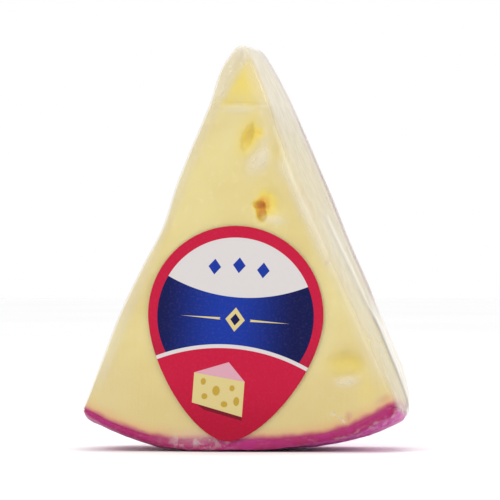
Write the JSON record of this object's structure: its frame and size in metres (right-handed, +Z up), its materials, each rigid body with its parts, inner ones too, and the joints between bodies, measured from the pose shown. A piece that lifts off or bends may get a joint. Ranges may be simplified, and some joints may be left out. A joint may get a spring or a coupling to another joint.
{
  "type": "cheese wedge",
  "caption": "Wedge of semi-hard cheese with gas eyes and a coloured wax rind, vacuum packed in clear film, with a drop-shaped front label. It stands on its rind.",
  "frame": {"origin": "middle of the underside of the whole pack, on the plane that it stands on", "axes": "+X to the right seen from the labelled front, +Y from the labelled front to the back, +Z up to the tip"},
  "size_m": [0.088, 0.042, 0.1088],
  "materials": {
    "cheese": "satin",
    "wax": "satin",
    "film": "gloss",
    "label_paper": "satin"
  },
  "bodies": {
    "root": {"cheese_body": "cheese", "wax_rind": "wax", "film_front": "film", "film_back": "film", "front_label": "label_paper"}
  },
  "joints": []
}
